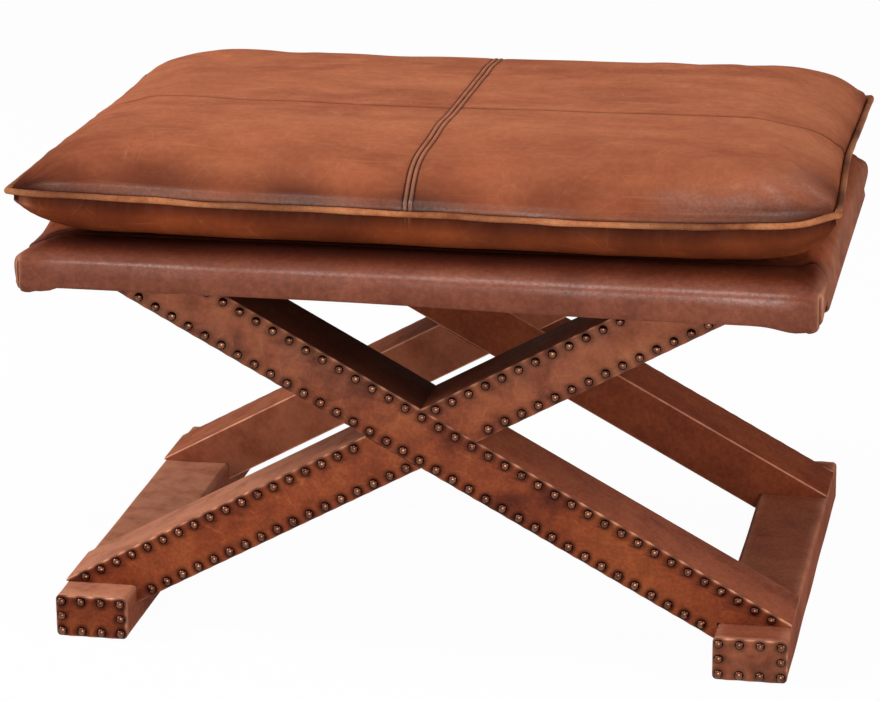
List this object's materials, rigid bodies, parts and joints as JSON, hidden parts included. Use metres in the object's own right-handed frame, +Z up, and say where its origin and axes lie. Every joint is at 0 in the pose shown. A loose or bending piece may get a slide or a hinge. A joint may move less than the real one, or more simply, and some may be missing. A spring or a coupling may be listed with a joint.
{
  "type": "upholstered footstool",
  "caption": "Leather footstool: X frames with nailhead trim standing on two runners, a padded seat with rolled ends, and a loose piped cushion.",
  "frame": {"origin": "on the floor, midway between the two runners and midway between the two X frames", "axes": "+X along the seat's length, +Y towards the rear X frame, +Z up"},
  "size_m": [0.796, 0.5314, 0.4905],
  "materials": {
    "base_leather": "aged, semi-gloss",
    "nailed_leather": "aged, semi-gloss, with antique brass nail heads",
    "seat_leather": "aged, semi-gloss",
    "cushion_leather": "burnished, semi-gloss",
    "piping_leather": "satin",
    "timber": "sawn",
    "plywood": "plain",
    "foam": "open cell foam",
    "dust_cloth": "woven, matt",
    "screw_steel": "zinc plated"
  },
  "bodies": {
    "stool": {"left_runner_core": "timber", "left_runner_wrap": "base_leather", "left_runner_front_cap": "nailed_leather", "left_runner_rear_cap": "nailed_leather", "right_runner_core": "timber", "right_runner_wrap": "base_leather", "right_runner_front_cap": "nailed_leather", "right_runner_rear_cap": "nailed_leather", "front_through_leg_core": "timber", "front_through_leg_wrap": "base_leather", "front_through_leg_face": "nailed_leather", "front_through_leg_dowel": "timber", "front_through_leg_screw": "screw_steel", "front_lapped_leg_core": "timber", "front_lapped_leg_wrap": "base_leather", "front_lapped_leg_upper_face": "nailed_leather", "front_lapped_leg_lower_face": "nailed_leather", "front_lapped_leg_dowel": "timber", "front_lapped_leg_screw": "screw_steel", "front_lap_screw": "screw_steel", "rear_through_leg_core": "timber", "rear_through_leg_wrap": "base_leather", "rear_through_leg_face": "nailed_leather", "rear_through_leg_dowel": "timber", "rear_through_leg_screw": "screw_steel", "rear_lapped_leg_core": "timber", "rear_lapped_leg_wrap": "base_leather", "rear_lapped_leg_upper_face": "nailed_leather", "rear_lapped_leg_lower_face": "nailed_leather", "rear_lapped_leg_dowel": "timber", "rear_lapped_leg_screw": "screw_steel", "rear_lap_screw": "screw_steel", "seat_centre_panel": "seat_leather", "seat_front_band": "seat_leather", "seat_rear_band": "seat_leather", "seat_pad": "foam", "seat_deck": "plywood", "seat_left_rail": "timber", "seat_right_rail": "timber", "seat_front_rail": "timber", "seat_rear_rail": "timber", "seat_brace": "timber", "seat_dust_cover": "dust_cloth"},
    "cushion": {"cushion_top_cover": "cushion_leather", "cushion_bottom_cover": "cushion_leather", "cushion_fill": "foam", "cushion_piping": "piping_leather"}
  },
  "joints": [
    {"name": "cushion_lift", "type": "slide", "parent": "stool", "child": "cushion", "axis": [0, 0, 1], "range_m": [0, 0.2]}
  ]
}
